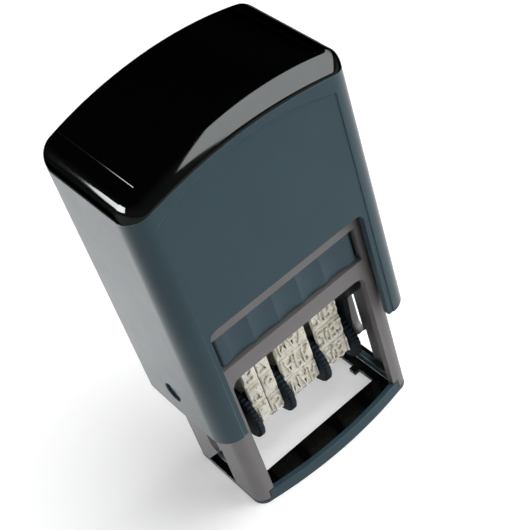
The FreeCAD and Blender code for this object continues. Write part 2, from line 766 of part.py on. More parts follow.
# Ink pad cartridge: a tray, open below and at its back, drawn out by a fluted grip
tray = new_body("pad_cartridge")
PAD_FRONT = f"({FRAME_Y} - Size.pad_setback)"
PAD_BACK = f"({ROOM_Y} - Size.pad_back_gap)"
TRAY_X = f"({PAD_X} - Size.pad_side_wall)"
TRAY_FRONT = f"({PAD_FRONT} - Size.grip_wall)"
view = sketch_on(tray, "block", "XY_Plane", PAD_BOTTOM)
rectangle(view, f"-{PAD_X}", f"-{PAD_FRONT}", PAD_X, PAD_BACK)
pad(tray, view, f"{PAD_TOP} - {PAD_BOTTOM}")
round_edges(tray, "corners", "Size.pad_corner", upright)

view = sketch_on(tray, "flutes", "XY_Plane")
PITCH = f"(2 * ({PAD_X} - Size.grip_margin) / Size.flute_count)"
FLUTE = crown_radius(f"{PITCH} / 2", "Size.flute_depth")
count = int(number("Size.flute_count"))
ridges = [f"({count} / 2 - {i}) * {PITCH}" for i in range(count + 1)]
cut = [(f"-({ridges[0]})", f"-{PAD_FRONT} - Size.overrun"), (ridges[0], f"-{PAD_FRONT} - Size.overrun")]
cut += [(ridge, f"-{PAD_FRONT}", FLUTE, 1) for ridge in ridges[:-1]]
cut.append((ridges[-1], f"-{PAD_FRONT}"))
outline(view, cut)
pocket(tray, view, forward=True)

view = sketch_on(tray, "room", "XY_Plane", f"{PAD_BOTTOM} - Size.overrun")
rectangle(view, f"-{TRAY_X}", f"-{TRAY_FRONT}", TRAY_X, f"{PAD_BACK} - Size.pad_back_wall")
pocket(tray, view, f"{TRAY_TOP} - {PAD_BOTTOM} + Size.overrun", forward=True)
view = sketch_on(tray, "way_out", "XY_Plane", f"{PAD_BOTTOM} - Size.overrun")
rectangle(view, f"-{TRAY_X}", "0", TRAY_X, f"{PAD_BACK} + Size.overrun")
pocket(tray, view, f"{FELT_BOTTOM} - {PAD_BOTTOM} + Size.overrun", forward=True)

felt = new_body("ink_felt")
view = sketch_on(felt, "block", "XY_Plane", FELT_BOTTOM)
rectangle(
    view,
    f"-({TRAY_X} - Size.felt_fit)",
    f"-({TRAY_FRONT} - Size.felt_fit)",
    f"{TRAY_X} - Size.felt_fit",
    f"{PAD_BACK} - Size.pad_back_wall - Size.felt_fit",
)
pad(felt, view, "Size.felt_thickness")

# Cheeks: a cam disc on the pivot with an arm down to the wheel axle, and the pin that runs in the track
SEAT = "(Size.pivot_neck_radius + Size.pin_seat_fit)"
CAM_PIN_LENGTH = f"(Size.cam_fit + {TRACK_DEPTH} - Size.cam_pin_gap)"
HEAD_END = f"({OUT_X} - Size.pivot_recess)"
HEAD_START = f"({FRAME_X} + Size.pivot_head_gap)"
for name, side in (("left", -1), ("right", 1)):
    cheek = new_body(f"{name}_cheek")
    inside = CHEEK_IN if side > 0 else f"-{CHEEK_OUT}"
    disc_start = CHEEK_IN if side > 0 else f"-{CAM_OUT}"
    pin_start = CAM_OUT if side > 0 else f"-({CAM_OUT} + {CAM_PIN_LENGTH})"
    view = sketch_on(cheek, "cam", "YZ_Plane", disc_start)
    circle(view, "0", "Size.pivot_height", "Size.cam_radius")
    pad(cheek, view, "Size.cam_wall + Size.cheek_wall")
    view = sketch_on(cheek, "arm", "YZ_Plane", inside)
    outline(
        view,
        [
            ("-Size.arm_end_radius", WHEEL_Z, "Size.arm_end_radius", 1),
            ("0", f"{WHEEL_Z} - Size.arm_end_radius", "Size.arm_end_radius", 1),
            ("Size.arm_end_radius", WHEEL_Z),
            ("Size.arm_top_width / 2", "Size.pivot_height"),
            ("-Size.arm_top_width / 2", "Size.pivot_height"),
        ],
    )
    pad(cheek, view, "Size.cheek_wall")
    view = sketch_on(cheek, "cam_pin", "YZ_Plane", pin_start)
    circle(view, "0", f"Size.pivot_height + {CAM_ORBIT}", "Size.cam_pin_radius")
    pad(cheek, view, CAM_PIN_LENGTH)
    view = sketch_on(cheek, "bores", "YZ_Plane")
    circle(view, "0", "Size.pivot_height", SEAT)
    circle(view, "0", WHEEL_Z, BORE)
    pocket(cheek, view, middle=True)

    # the pivot pin is pushed in from outside, its head turning in the housing's side hole
    pin = new_body(f"{name}_pivot_pin")
    start = CHEEK_IN if side > 0 else f"-{HEAD_START}"
    view = sketch_on(pin, "neck", "YZ_Plane", start)
    circle(view, "0", "Size.pivot_height", "Size.pivot_neck_radius")
    pad(pin, view, f"{HEAD_START} - {CHEEK_IN}")
    start = HEAD_START if side > 0 else f"-{HEAD_END}"
    view = sketch_on(pin, "head", "YZ_Plane", start)
    circle(view, "0", "Size.pivot_height", HEAD_RADIUS)
    pad(pin, view, f"{HEAD_END} - {HEAD_START}")

# The places of wheels and bands along the axle, counted from the right cheek: (right, left) of each
STACK = {}
edge = f"({CHEEK_IN} - Size.stack_gap)"
for name, width, has_disc in (
    ("year", "Size.year_width", True),
    ("month", "Size.month_width", True),
    ("units", "Size.units_width", True),
    ("tens", "Size.tens_width", False),
):
    if has_disc:
        STACK[f"{name}_disc"] = (edge, f"({edge} - Size.wheel_disc)")
        edge = f"({edge} - Size.wheel_disc - Size.stack_gap)"
    STACK[f"{name}_band"] = (edge, f"({edge} - {width})")
    edge = f"({edge} - {width} - Size.stack_gap)"
STACK["tens_disc"] = (edge, f"({edge} - Size.wheel_disc)")

# Print bridge: the platen that the bands run over, with dividers between them and an end at each cheek
bridge = new_body("print_bridge")
PLATEN_X = f"({CHEEK_IN} - Size.platen_end)"
view = sketch_on(bridge, "platen", "YZ_Plane")
outline(
    view,
    [
        (f"-{HALF_PLATEN}", f"{PLATEN_TOP} - Size.platen_depth"),
        (HALF_PLATEN, f"{PLATEN_TOP} - Size.platen_depth"),
        (HALF_PLATEN, f"{PLATEN_TOP} - Size.platen_corner", "Size.platen_corner", 1),
        (f"{HALF_PLATEN} - Size.platen_corner", PLATEN_TOP),
        (f"-({HALF_PLATEN} - Size.platen_corner)", PLATEN_TOP, "Size.platen_corner", 1),
        (f"-{HALF_PLATEN}", f"{PLATEN_TOP} - Size.platen_corner"),
    ],
)
pad(bridge, view, f"2 * {PLATEN_X}", middle=True)
view = sketch_on(bridge, "ends", "YZ_Plane")
rectangle(
    view,
    f"-{HALF_PLATEN}",
    f"{PLATEN_TOP} - Size.platen_depth",
    HALF_PLATEN,
    f"Size.pivot_height + {CAM_ORBIT}",
)
pad(bridge, view, f"2 * {CHEEK_IN}", middle=True)
for name in ("month", "units", "tens"):
    right, left = STACK[f"{name}_disc"]
    view = sketch_on(bridge, f"{name}_divider", "YZ_Plane", left)
    rise = f"({PLATEN_TOP} + Size.divider_rise)"
    rectangle(
        view,
        f"-({HALF_PLATEN} + Size.divider_rise)",
        f"{PLATEN_TOP} - Size.platen_depth",
        f"{HALF_PLATEN} + Size.divider_rise",
        rise,
    )
    pad(bridge, view, "Size.wheel_disc")

axle = new_body("wheel_axle")
view = sketch_on(axle, "rod", "YZ_Plane")
circle(view, "0", WHEEL_Z, "Size.axle_radius")
pad(axle, view, f"2 * {CHEEK_OUT}", middle=True)

# Band wheels: a knurled disc for the finger with a hub beside it that carries the band. The sides of a
# notch run on past the tooth's tip, just inside the disc's circle, so that neighbours meet in an edge.
TIP_SIDE = "(Size.wheel_radius * sin(180 deg / Size.knurl_count))"
TIP_HEIGHT = "(Size.wheel_radius * cos(180 deg / Size.knurl_count) - Size.knurl_tip)"
NOTCH_ROOT = "(Size.wheel_radius - Size.knurl_depth)"
NOTCH_SIDE = f"(Size.knurl_reach_share * {TIP_SIDE})"
NOTCH_MOUTH = f"({NOTCH_ROOT} + Size.knurl_reach_share * ({TIP_HEIGHT} - {NOTCH_ROOT}))"
for name in ("tens", "units", "month", "year"):
    right, left = STACK[f"{name}_disc"]
    band_right, band_left = STACK[f"{name}_band"]
    wheel = new_body(f"{name}_wheel")
    view = sketch_on(wheel, "disc", "YZ_Plane", left)
    circle(view, "0", WHEEL_Z, "Size.wheel_radius")
    pad(wheel, view, "Size.wheel_disc")
    hub_start, hub_end = (left, band_right) if name == "tens" else (band_left, right)
    view = sketch_on(wheel, "hub", "YZ_Plane", hub_start)
    circle(view, "0", WHEEL_Z, "Size.wheel_hub_radius")
    pad(wheel, view, f"{hub_end} - {hub_start}")
    if name == "tens":
        collar = f"-({CHEEK_IN} - Size.stack_gap)"
        view = sketch_on(wheel, "collar", "YZ_Plane", collar)
        circle(view, "0", WHEEL_Z, "Size.arm_end_radius")
        pad(wheel, view, f"{left} - {collar}")
    view = sketch_on(wheel, "bore", "YZ_Plane")
    circle(view, "0", WHEEL_Z, BORE)
    pocket(wheel, view, middle=True)
    view = sketch_on(wheel, "knurl", "YZ_Plane")
    view.setExpression("AttachmentOffset.Base.y", WHEEL_Z)
    outline(
        view,
        [
            (f"-{NOTCH_SIDE}", "Size.wheel_radius + Size.knurl_depth"),
            (f"-{NOTCH_SIDE}", NOTCH_MOUTH),
            ("0", NOTCH_ROOT),
            (NOTCH_SIDE, NOTCH_MOUTH),
            (NOTCH_SIDE, "Size.wheel_radius + Size.knurl_depth"),
        ],
    )
    notch = pocket(wheel, view, middle=True)
    teeth = wheel.newObject("PartDesign::PolarPattern", f"{name}_wheel_teeth")
    teeth.Originals = [notch]
    teeth.Axis = (view, ["N_Axis"])
    teeth.Angle = 360
    teeth.setExpression("Occurrences", "Size.knurl_count")
    wheel.Tip = teeth
    finish_feature(teeth)


class BandLoop:
    """The loop of a date band at a given height over its inner face, seen along the axle.

    It is the tight outline round three circles: the wheel's hub below and the platen's two top
    corners above. Each straight run is the outer tangent of the hub and one corner.
    """

    def __init__(self, height):
        self.hub = number("Size.wheel_hub_radius + Size.band_fit") + height
        self.corner = number("Size.platen_corner + Size.band_fit") + height
        self.side = number(f"{HALF_PLATEN} - Size.platen_corner")
        self.low = number(WHEEL_Z)
        self.high = number(f"{PLATEN_TOP} - Size.platen_corner")
        span = math.hypot(self.side, self.high - self.low)
        tilt = math.asin((self.hub - self.corner) / span)
        self.normal = tilt - math.atan2(self.side, self.high - self.low)
        self.run = span * math.cos(tilt)

    def pieces(self):
        """The loop's pieces from the middle of the top round to the front: (length, place at share)."""
        top = math.pi / 2
        lines = [
            (self.side, lambda s: self.on_line((0, self.top()), (self.side, self.top()), s, top)),
            (self.corner * (top - self.normal), lambda s: self.on_arc(1, top - s / self.corner)),
            (self.run, lambda s: self.on_line(self.point(1), self.foot(), s, self.normal)),
            (self.hub * (top + self.normal), lambda s: self.on_arc(0, self.normal - s / self.hub)),
        ]
        return lines

    def top(self):
        """The height of the flat run over the platen."""
        return self.high + self.corner

    def point(self, upper):
        """Where the right straight run leaves the upper corner."""
        return (
            self.side + self.corner * math.cos(self.normal),
            self.high + self.corner * math.sin(self.normal),
        )

    def foot(self):
        """Where the right straight run meets the hub's circle."""
        return (self.hub * math.cos(self.normal), self.low + self.hub * math.sin(self.normal))

    def on_line(self, start, end, distance, normal):
        """A point a distance along a line, with the direction of its outward normal."""
        length = math.dist(start, end)
        return (
            start[0] + (end[0] - start[0]) * distance / length,
            start[1] + (end[1] - start[1]) * distance / length,
            normal,
        )

    def on_arc(self, upper, angle):
        """A point on the corner's or the hub's circle, with its outward normal."""
        radius = self.corner if upper else self.hub
        centre = (self.side, self.high) if upper else (0, self.low)
        return (
            centre[0] + radius * math.cos(angle),
            centre[1] + radius * math.sin(angle),
            angle,
        )

    def half_length(self):
        """The length from the middle of the top down one side to the bottom."""
        return sum(length for length, _ in self.pieces())

    def place(self, distance):
        """The point and outward normal a distance round from the middle of the top."""
        total = 2 * self.half_length()
        distance = distance % total
        mirrored = distance > total / 2
        left = total - distance if mirrored else distance
        for length, at in self.pieces():
            if left <= length + 1e-9:
                y, z, normal = at(left)
                break
            left -= length
        return (-y, z, math.pi - normal) if mirrored else (y, z, normal)

    def face(self, x):
        """The area inside the loop, standing across the axle at x."""
        def at(y, z):
            return FreeCAD.Vector(x, y, z)

        def on_circle(upper, angle, mirror=1):
            y, z, _ = self.on_arc(upper, angle)
            return at(mirror * y, z)

        turn = (math.pi / 2 + self.normal) / 2
        right, foot = self.point(1), self.foot()
        edges = [Part.makeLine(at(-self.side, self.top()), at(self.side, self.top()))]
        for mirror in (1, -1):
            ends = on_circle(1, math.pi / 2, mirror), at(mirror * right[0], right[1])
            edges.append(Part.Arc(ends[0], on_circle(1, turn, mirror), ends[1]).toShape())
            edges.append(Part.makeLine(ends[1], at(mirror * foot[0], foot[1])))
        edges.append(
            Part.Arc(
                at(*foot), at(0, self.low - self.hub), at(-foot[0], foot[1])
            ).toShape()
        )
        return Part.Face(Part.Wire(Part.__sortEdges__(edges)))


def date_band(name):
    """A rubber loop round the hub and the platen, with one raised block for each place of the date."""
    right, left = (number(place) for place in STACK[f"{name}_band"])
    thick, rise = number("Size.band_thickness"), number("Size.type_height")
    across = FreeCAD.Vector(right - left, 0, 0)
    inner, outer = BandLoop(0), BandLoop(thick)
    band = outer.face(left).extrude(across).cut(inner.face(left).extrude(across))
    count = int(number("Size.row_count"))
    pitch = 2 * outer.half_length() / count
    length = number("Size.type_length")
    sunk = thick * number("Size.type_root_share")
    blocks = []
    for i in range(count):
        y, z, normal = outer.place(i * pitch)
        block = Part.makeBox(right - left, length, rise + sunk)
        block.translate(FreeCAD.Vector(0, -length / 2, -sunk))
        block.rotate(FreeCAD.Vector(), FreeCAD.Vector(1, 0, 0), math.degrees(normal) - 90)
        block.translate(FreeCAD.Vector(left, y, z))
        blocks.append(block)
    return band.fuse(blocks).removeSplitter(), pitch


bands = []
for name in ("tens", "units", "month", "year"):
    band = doc.addObject("Part::Feature", f"{name}_band")
    band.Shape, pitch = date_band(name)
    bands.append(band)
print(f"row pitch {pitch:.2f}")


def spring_shape():
    """An open coil of wire, drawn with six sides, between the frame's shelf and the housing's roof.

    Quarter turns are arcs through three points of the helix. The wire ends stand clear of both seats.
    """
    radius, wire = number("Size.spring_radius"), number("Size.spring_wire")
    quarters = 4 * int(number("Size.spring_turns"))
    low = number(f"{CEILING_TOP} + Size.spring_fit") + wire
    high = number(f"{ROOF} - Size.spring_fit") - wire
    print(f"least gap between turns {4 * (high - low) / quarters - 2 * wire:.2f}")

    def at(quarter):
        angle = quarter * math.pi / 2
        height = low + (high - low) * quarter / quarters
        return FreeCAD.Vector(radius * math.cos(angle), radius * math.sin(angle), height)

    path = Part.Wire([Part.Arc(at(i), at(i + 0.5), at(i + 1)).toShape() for i in range(quarters)])
    side_count = 6
    corners = []
    for i in range(side_count):
        angle = 2 * math.pi * i / side_count
        corners.append(at(0) + FreeCAD.Vector(wire * math.cos(angle), 0, wire * math.sin(angle)))
    section = Part.makePolygon(corners + corners[:1])
    return path.makePipeShell([section], True, False)


spring = doc.addObject("Part::Feature", "return_spring")
spring.Shape = spring_shape()

doc.recompute()

# Every object has to be sound before a piece is written
for thing in doc.Objects:
    if "Invalid" in thing.State or "Error" in thing.State:
        raise RuntimeError(f"{thing.Label} has not been built")
inner = {"inner_frame_box", "cam_tracks"}
pieces = [
    thing
    for thing in doc.Objects
    if thing.TypeId in ("PartDesign::Body", "Part::Cut", "Part::Feature") and thing.Label not in inner
]
os.makedirs("parts", exist_ok=True)
for piece in pieces:
    shape = piece.Shape
    if shape.isNull() or not shape.isValid() or not shape.Solids:
        raise RuntimeError(f"{piece.Label} is not a sound solid")
    print(f"{piece.Label}: {len(shape.Solids)} solid, {shape.Volume:.1f} mm3")
    shape.exportStep(f"parts/{piece.Label}.step")
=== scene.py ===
import math

import bmesh
import bpy
import numpy as np
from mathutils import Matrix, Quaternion, Vector


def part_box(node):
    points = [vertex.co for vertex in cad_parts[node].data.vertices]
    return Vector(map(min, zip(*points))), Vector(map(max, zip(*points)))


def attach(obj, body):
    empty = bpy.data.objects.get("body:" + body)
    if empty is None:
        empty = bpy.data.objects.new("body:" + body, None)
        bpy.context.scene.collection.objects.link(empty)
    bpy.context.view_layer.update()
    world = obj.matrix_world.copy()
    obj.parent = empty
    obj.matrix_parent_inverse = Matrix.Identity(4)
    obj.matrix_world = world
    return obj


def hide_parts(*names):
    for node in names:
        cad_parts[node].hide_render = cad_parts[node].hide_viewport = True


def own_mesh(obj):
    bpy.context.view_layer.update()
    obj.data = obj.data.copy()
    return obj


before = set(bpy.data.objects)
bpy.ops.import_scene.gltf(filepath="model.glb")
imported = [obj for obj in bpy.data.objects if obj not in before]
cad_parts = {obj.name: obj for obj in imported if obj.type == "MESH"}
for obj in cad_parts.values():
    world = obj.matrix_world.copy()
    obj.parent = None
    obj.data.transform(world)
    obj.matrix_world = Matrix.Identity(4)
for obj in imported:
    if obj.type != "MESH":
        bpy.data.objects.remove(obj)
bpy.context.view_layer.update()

# Base frame
# One flat moulding of slate plastic that the frame is snapped into. Its lips front and back bow
# outwards, and its floor round the print window is polished black.
MM = 0.001


def srgb(red, green, blue):
    """A display colour, each part from 0 to 255, as the linear colour that a shader takes."""
    shares = np.array([red, green, blue]) / 255
    linear = np.where(shares <= 0.04045, shares / 12.92, ((shares + 0.055) / 1.055) ** 2.4)
    return (*linear.tolist(), 1.0)


def tinted(colour, factor):
    """A colour made lighter or darker by a factor."""
    return tuple(min(1.0, part * factor) for part in colour[:3]) + (1.0,)


class Finish:
    """A surface finish: one Principled shader and the nodes that vary it over the object's own space."""

    def __init__(self, name, roughness=0.5):
        self.material = bpy.data.materials.new(name)
        self.material.use_nodes = True
        self.tree = self.material.node_tree
        self.shader = self.tree.nodes["Principled BSDF"]
        self.set(Roughness=roughness)
        self.place = self.node("ShaderNodeTexCoord").outputs["Object"]

    def node(self, kind, **settings):
        """A node with its own settings, such as a data type."""
        node = self.tree.nodes.new(kind)
        for key, value in settings.items():
            setattr(node, key, value)
        return node

    def link(self, start, end):
        self.tree.links.new(start, end)

    def feed(self, socket, value):
        """Gives an input a number or a colour, or another node's output."""
        if isinstance(value, bpy.types.NodeSocket):
            self.link(value, socket)
        else:
            socket.default_value = value

    def set(self, **values):
        """Gives sockets of the shader their values. In a socket's name _ stands for a space."""
        for name, value in values.items():
            self.feed(self.shader.inputs[name.replace("_", " ")], value)

    def noise(self, size, detail=2.0, rough=0.5, stretch=(1, 1, 1)):
        """Noise whose features are about the given size, drawn out along each axis by the stretch."""
        spread = self.node("ShaderNodeMapping")
        spread.inputs["Scale"].default_value = [1 / (size * share) for share in stretch]
        noise = self.node("ShaderNodeTexNoise")
        noise.inputs["Scale"].default_value = 1.0
        noise.inputs["Detail"].default_value = detail
        noise.inputs["Roughness"].default_value = rough
        self.link(self.place, spread.inputs["Vector"])
        self.link(spread.outputs["Vector"], noise.inputs["Vector"])
        return noise.outputs["Fac"]

    def spread(self, value, low, high, start=0.35, end=0.65):
        """The value carried from start..end to low..high."""
        ramp = self.node("ShaderNodeMapRange")
        for socket, number in (("From Min", start), ("From Max", end), ("To Min", low), ("To Max", high)):
            ramp.inputs[socket].default_value = number
        self.link(value, ramp.inputs["Value"])
        return ramp.outputs["Result"]

    def upward(self, vector):
        """The upward part of a vector."""
        split = self.node("ShaderNodeSeparateXYZ")
        self.link(vector, split.inputs["Vector"])
        return split.outputs["Z"]

    def mix(self, share, low, high, kind="RGBA"):
        """Between two colours or numbers, each written out or another node's output."""
        mix = self.node("ShaderNodeMix", data_type=kind)
        ends = {"RGBA": "Color", "FLOAT": "Float"}[kind]
        for socket, value in ((f"A_{ends}", low), (f"B_{ends}", high)):
            self.feed(next(s for s in mix.inputs if s.identifier == socket), value)
        self.link(share, next(s for s in mix.inputs if s.identifier == "Factor_Float"))
        return next(s for s in mix.outputs if s.identifier == f"Result_{ends}")

    def sum(self, operation, *values):
        """A sum done on numbers and other nodes' outputs."""
        node = self.node("ShaderNodeMath", operation=operation)
        for socket, value in zip(node.inputs, values):
            self.feed(socket, value)
        return node.outputs[0]

    def relief(self, height, depth):
        """Small relief of the given depth over the surface."""
        bump = self.node("ShaderNodeBump")
        bump.inputs["Strength"].default_value = 1.0
        bump.inputs["Distance"].default_value = depth
        self.link(height, bump.inputs["Height"])
        self.set(Normal=bump.outputs["Normal"])

    def openness(self, distance, samples):
        """How open a point is: 1 with nothing nearer than the distance, 0 deep between surfaces."""
        open_sky = self.node("ShaderNodeAmbientOcclusion")
        open_sky.inputs["Distance"].default_value = distance
        open_sky.samples = samples
        return open_sky.outputs["AO"]


GRAIN = 0.25 * MM
GRAIN_DEPTH = 0.008 * MM
CLOUD = 9 * MM
CLOUDINESS = 0.04
PATCH = 4 * MM
PATCHINESS = 0.02


def satin_plastic(name, colour, roughness):
    """Satin plastic from a spark-eroded mould: an even fine grain and a faint cloudiness in its colour."""
    finish = Finish(name)
    clouds = finish.spread(finish.noise(CLOUD, 3), 0, 1)
    finish.colour = finish.mix(clouds, tinted(colour, 1 - CLOUDINESS), tinted(colour, 1 + CLOUDINESS))
    patches = finish.noise(PATCH, 4, 0.7)
    finish.polish = finish.spread(patches, roughness - PATCHINESS, roughness + PATCHINESS)
    finish.set(Base_Color=finish.colour, Roughness=finish.polish, Specular_IOR_Level=0.22)
    finish.relief(finish.noise(GRAIN, 1), GRAIN_DEPTH)
    return finish


def shade_by_angle(limit):
    """A modifier's node group: faces shade smooth, and edges that turn by over the limit stay sharp."""
    group = bpy.data.node_groups.new("shade_by_angle", "GeometryNodeTree")
    for way in ("INPUT", "OUTPUT"):
        group.interface.new_socket("Geometry", in_out=way, socket_type="NodeSocketGeometry")
    start, end = group.nodes.new("NodeGroupInput"), group.nodes.new("NodeGroupOutput")
    turn = group.nodes.new("GeometryNodeInputMeshEdgeAngle")
    sharp = group.nodes.new("FunctionNodeCompare")
    sharp.operation = "GREATER_THAN"
    sharp.inputs["B"].default_value = limit
    faces = group.nodes.new("GeometryNodeSetShadeSmooth")
    edges = group.nodes.new("GeometryNodeSetShadeSmooth")
    edges.domain = "EDGE"
    edges.inputs["Shade Smooth"].default_value = False
    group.links.new(turn.outputs["Unsigned Angle"], sharp.inputs["A"])
    group.links.new(start.outputs[0], faces.inputs["Geometry"])
    group.links.new(faces.outputs["Geometry"], edges.inputs["Geometry"])
    group.links.new(sharp.outputs["Result"], edges.inputs["Selection"])
    group.links.new(edges.outputs["Geometry"], end.inputs[0])
    return group


SHADING = shade_by_angle(math.radians(50))


def shade(piece, shading=SHADING):
    """Smooth shading with sharp corners, and flat faces that stay flat beside round ones."""
    piece.modifiers.new("shade", "NODES").node_group = shading
    normals = piece.modifiers.new("normals", "WEIGHTED_NORMAL")
    normals.keep_sharp = True
    return piece


WELD_GAP = 0.002 * MM
FLAT_TURN = math.radians(1)
CORNER_TURN = math.radians(30)


def dress(name, finish, edge, shading=SHADING):
    """Gives a CAD node its finish, joins its facets and breaks its edges with a small round."""
    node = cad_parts[name]
    weld = node.modifiers.new("weld", "WELD")
    weld.merge_threshold = WELD_GAP
    flats = node.modifiers.new("flats", "DECIMATE")
    flats.decimate_type = "DISSOLVE"
    flats.angle_limit = FLAT_TURN
    corners = node.modifiers.new("edges", "BEVEL")
    corners.width = edge
    corners.segments = 2
    corners.limit_method = "ANGLE"
    corners.angle_limit = CORNER_TURN
    node.data.materials.clear()
    node.data.materials.append(finish.material)
    return shade(node, shading)


SLATE = srgb(46, 70, 79)
POLISHED_BELOW = (1.1 * MM, 1.3 * MM)
LEVEL_FROM = (0.6, 0.8)
base_slate = satin_plastic("base_slate", SLATE, roughness=0.42)
low_down = base_slate.spread(base_slate.upward(base_slate.place), 1, 0, *POLISHED_BELOW)
normal = base_slate.node("ShaderNodeTexCoord").outputs["Normal"]
level = base_slate.spread(base_slate.upward(normal), 0, 1, *LEVEL_FROM)
polished = base_slate.sum("MULTIPLY", low_down, level)
base_slate.set(
    Base_Color=base_slate.mix(polished, base_slate.colour, srgb(5, 6, 6)),
    Roughness=base_slate.mix(polished, base_slate.polish, 0.12, "FLOAT"),
)
dress("base_frame", base_slate, edge=0.12 * MM)

# Inner frame
# An upright box of warm grey plastic, moulded in one with its shelf, its runners and the tracks in its
# sides. It stands snapped on the base, and everything else hangs in it or slides on it.
dress("inner_frame", satin_plastic("frame_grey", srgb(122, 119, 120), roughness=0.45), edge=0.18 * MM)

# Ink pad cartridge
# A drawer of slate plastic with a fluted grip, moulded in one. It slides in the frame on two runners.
RIDGES = shade_by_angle(math.radians(20))
cartridge_slate = satin_plastic("cartridge_slate", srgb(58, 79, 89), roughness=0.30)
dress("pad_cartridge", cartridge_slate, edge=0.15 * MM, shading=RIDGES)

# Ink felt
# A die-cut block of wool felt, soaked with black ink and pressed into the cartridge, face down. Its
# cut edges are drawn in a little.


def piece_of(name, points, faces, finish):
    """A mesh object at the origin from points and faces, with its finish."""
    mesh = bpy.data.meshes.new(name)
    mesh.from_pydata(np.asarray(points).reshape(-1, 3).tolist(), [], faces)
    mesh.polygons.foreach_set("use_smooth", np.ones(len(mesh.polygons), bool))
    mesh.materials.append(finish.material)
    mesh.update()
    piece = bpy.data.objects.new(name, mesh)
    bpy.context.scene.collection.objects.link(piece)
    return piece


def quads_of(rows, columns, start=0, ring=True, loop=False):
    """The quads between neighbours of a grid, closed round each ring of columns and the loop of rows."""
    index = start + np.arange(rows * columns).reshape(rows, columns)
    if loop:
        index = np.vstack([index, index[:1]])
    if ring:
        index = np.hstack([index, index[:, :1]])
    corners = [index[:-1, :-1], index[:-1, 1:], index[1:, 1:], index[1:, :-1]]
    return np.stack(corners, -1).reshape(-1, 4).tolist()


def stacked(rings, start=0):
    """The faces of a closed body of stacked rings: quads between them and one face at each end."""
    rows, columns = rings.shape[:2]
    ends = start + np.arange(columns)
    return quads_of(rows, columns, start) + [ends[::-1].tolist(), (ends + (rows - 1) * columns).tolist()]


def round_slab(half_x, half_y, thickness, corner, edge, steps=4):
    """Rings of a slab about the origin, its corners and its rims round.

    A ring is a rectangle with quarter-circle corners. The rings are drawn in by edge (1 - sin a) and
    sunk by edge (1 - cos a) as a goes over a quarter turn at each rim.
    """
    turn = np.linspace(0, math.pi / 2, steps + 1)
    inset = edge * (1 - np.sin(turn))
    sunk = edge * (1 - np.cos(turn))
    inset = np.concatenate([inset, inset[::-1]])[:, None]
    level = np.concatenate([sunk, thickness - sunk[::-1]])[:, None]
    quarter = np.linspace(0, math.pi / 2, 2 * steps + 1)
    angle = np.concatenate([quarter + side * math.pi / 2 for side in range(4)])[None]
    radius = np.maximum(corner - inset, 0.01 * MM)
    across = half_x - inset - radius
    along = half_y - inset - radius
    way_x = np.repeat([1, -1, -1, 1], 2 * steps + 1)[None]
    way_y = np.repeat([1, 1, -1, -1], 2 * steps + 1)[None]
    x = across * way_x + radius * np.cos(angle)
    y = along * way_y + radius * np.sin(angle)
    return np.stack([x, y, level + 0 * x], -1)


def low_of(name):
    """The lowest corner of a node's box."""
    return np.array(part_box(name)[0])


def high_of(name):
    """The highest corner of a node's box."""
    return np.array(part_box(name)[1])


felt_black = Finish("felt_black", roughness=0.85)
fibres = felt_black.noise(0.16 * MM, 6, 0.75)
felt_black.set(Base_Color=felt_black.mix(fibres, srgb(14, 15, 22), srgb(38, 40, 52)), Sheen_Weight=0.25)
felt_black.relief(felt_black.noise(0.09 * MM, 4, 0.7), depth=0.05 * MM)
low, high = low_of("ink_felt"), high_of("ink_felt")
half = (high - low) / 2
rings = round_slab(half[0], half[1], 2 * half[2], corner=0.4 * MM, edge=0.3 * MM)
rings = rings + [*(low + half)[:2], low[2]]
felt = shade(piece_of("felt_block", rings, stacked(rings), felt_black))
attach(felt, "ink_pad")
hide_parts("ink_felt")

# Print unit
# Two cheeks with cam discs, joined by the platen that the bands run over. All are moulded in black
# plastic, and the cheeks hang on steel pins that are pushed in through the housing's sides.
carrier_black = satin_plastic("carrier_black", srgb(38, 45, 49), roughness=0.33)
for name in ("left_cheek", "right_cheek", "print_bridge"):
    dress(name, carrier_black, edge=0.1 * MM)

turned_steel = Finish("turned_steel")
tool_marks = turned_steel.noise(0.12 * MM, 3, 0.6, stretch=(1, 12, 12))
turned_steel.set(
    Base_Color=turned_steel.mix(tool_marks, srgb(96, 99, 102), srgb(150, 152, 153)),
    Metallic=1.0,
    Roughness=turned_steel.spread(tool_marks, 0.28, 0.46),
)
for name in ("left_pivot_pin", "right_pivot_pin", "wheel_axle"):
    dress(name, turned_steel, edge=0.12 * MM)

# Band wheels
# Four wheels moulded in black plastic turn on the axle. Each is a disc with a knurled rim for the
# finger and a hub that carries its band.
WHEEL_Z = (low_of("wheel_axle")[2] + high_of("wheel_axle")[2]) / 2
HUB = 2.4 * MM
HUB_CHAMFER = 0.1 * MM
BORE = 1.05 * MM
DISC = 1.35 * MM
STACK_GAP = 0.12 * MM
TEETH = 40
TOOTH_DEPTH = 0.45 * MM
TOOTH_SHARPNESS = 1.6
RIM_CHAMFER = 0.2 * MM
STEP_IN = 1.6 * MM
STEP_OUT = 1.3 * MM
STEP_DEPTH = 0.18 * MM
DISH_DEPTH = 0.05 * MM
wheel_black = satin_plastic("wheel_black", srgb(32, 41, 49), roughness=0.6)
wheel_black.set(Specular_IOR_Level=0.1)


